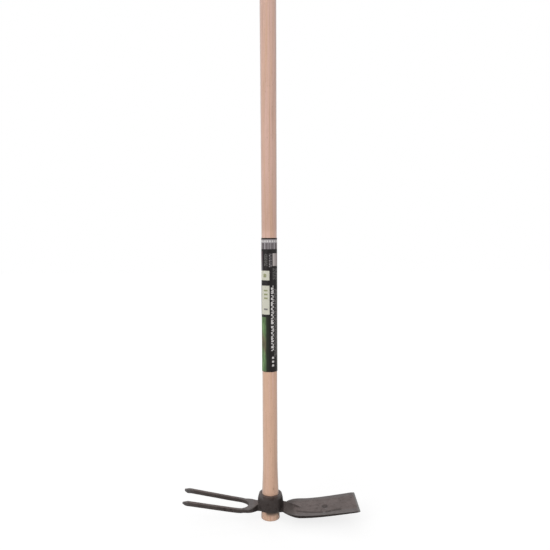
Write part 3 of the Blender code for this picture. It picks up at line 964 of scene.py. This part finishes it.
def print_head_band(film):
    film.ink(film.panel(*ALL_ROUND, *HEAD_BAND), INK_SILVER)
    film.ink(film.bars(*TEETH, *TEETH_BAND), INK_WHITE)
    for pitch, share, tone in STRIPES:
        film.ink(film.bars(pitch, share, *STRIPE_BAND), tone)


def print_faded_panels(film):
    tone = film.mix(film.span(film.up, *FADE_UP), INK_STEEL, INK_WINE)
    film.ink(film.panel(*FADED_PANEL), tone)
    tone = film.mix(film.span(film.across, *FADE_ACROSS), INK_ROSE, INK_DUSK)
    film.ink(film.panel(*SIDE_PANEL), tone)


def print_dashes(film):
    for left, step, width, low, high, pitch, share, tone, seeds in DASH_COLUMNS:
        for column, seed in enumerate(seeds):
            film.ink(film.dashes(left + step * column, width, low, high, pitch, share, seed), tone)


def print_panels(film):
    for edges, tone in PLAIN_PANELS:
        film.ink(film.panel(*edges), tone)
    for left, right, lows, height, tone in MARK_STACKS:
        for low in lows:
            film.ink(film.panel(left, right, low, low + height), tone)


def print_field(film):
    """A soft blend of leaf and soil tones, which deepens to its right."""
    blend = film.span(film.readings["blend"], *FIELD_SPAN)
    leaf = film.mix(blend, LEAF_DARK, LEAF_LIGHT)
    soil = film.mix(blend, SOIL_DARK, SOIL_LIGHT)
    tilt = film.math("MULTIPLY_ADD", film.across, FIELD_LEAN, film.up)
    off = film.math("ABSOLUTE", film.math("SUBTRACT", tilt, FIELD_MIDDLE))
    tone = film.mix(film.span(off, *FIELD_LEAFY), soil, leaf)
    film.ink(film.panel(*FIELD_PANEL), film.mix(film.span(film.across, *FIELD_DEEP), tone, LEAF_DEEP))


def print_back(film):
    film.ink(film.panel(*BACK_PANEL), INK_FAINT)
    left, right = BACK_LINE_EDGES
    for line in range(BACK_LINES):
        low = BACK_LINE_TOP - BACK_LINE_PITCH * line
        end = right - BACK_LINE_SHORTER * (line % BACK_LINE_LENGTHS)
        film.ink(film.panel(left, end, low, low + BACK_LINE_HEIGHT), INK_GREY)


def wrap_print():
    film = Print("printed_film", INK_BLACK)
    for lay in (print_head_band, print_faded_panels, print_dashes, print_panels, print_field, print_back):
        lay(film)
    film.give("Specular IOR Level", FILM_SPECULAR)
    film.bump(film.readings["crinkle"], FILM_RELIEF)
    return film.finish(FILM_ROUGHNESS)


def film_radii(middle):
    """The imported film's outer radius on its front, at its lower and its upper end."""
    low_end = high_end = 0.0
    for corner in nodes["label_wrap"].data.vertices:
        reach = math.hypot(corner.co.x, corner.co.y)
        if corner.co.y < 0.0 and corner.co.z < middle:
            low_end = max(low_end, reach)
        elif corner.co.y < 0.0:
            high_end = max(high_end, reach)
    return low_end, high_end


def wrap():
    low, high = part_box("label_wrap")
    low_end, high_end = film_radii(0.5 * (low.z + high.z))
    length = high.z - low.z
    sweep = math.tau + LAP_LENGTH / low_end
    points, faces, places = [], [], []
    for row in range(WRAP_ROWS + 1):
        share = row / WRAP_ROWS
        seat = low_end + (high_end - low_end) * share - FILM_THICKNESS
        height = low.z + length * share
        for side in range(WRAP_SIDES + 1):
            angle = sweep * side / WRAP_SIDES
            turn = math.pi / 2 + angle
            lift = LAP_LIFT * ramp(angle, math.tau - LAP_LIFT_START, math.tau - LAP_LIFT_END)
            east, north = math.cos(turn), math.sin(turn)
            spot = Vector((east * CRINKLE_AROUND, north * CRINKLE_AROUND, height * CRINKLE_ALONG))
            reach = seat + lift + CRINKLE * noise.noise(spot)
            points.append((reach * east, reach * north, height))
            places.append((low_end * (angle - math.pi), height - low.z, 0.0))
    for row in range(WRAP_ROWS):
        for side in range(WRAP_SIDES):
            near = row * (WRAP_SIDES + 1) + side
            far = near + WRAP_SIDES + 1
            faces.append((near, near + 1, far + 1, far))
    made = mesh_object("printed_wrap", points, faces, wrap_print())
    layer = made.data.attributes.new("print_place", "FLOAT_VECTOR", "POINT")
    layer.data.foreach_set("vector", np.array(places, np.float32).ravel())
    shell = made.modifiers.new("film", "SOLIDIFY")
    shell.thickness = FILM_THICKNESS
    shell.offset = 1.0
    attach(made, "root")
    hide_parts("label_wrap")


bpy.context.scene.view_settings.view_transform = "Standard"
camera()
surroundings()
handle()
head()
wrap()
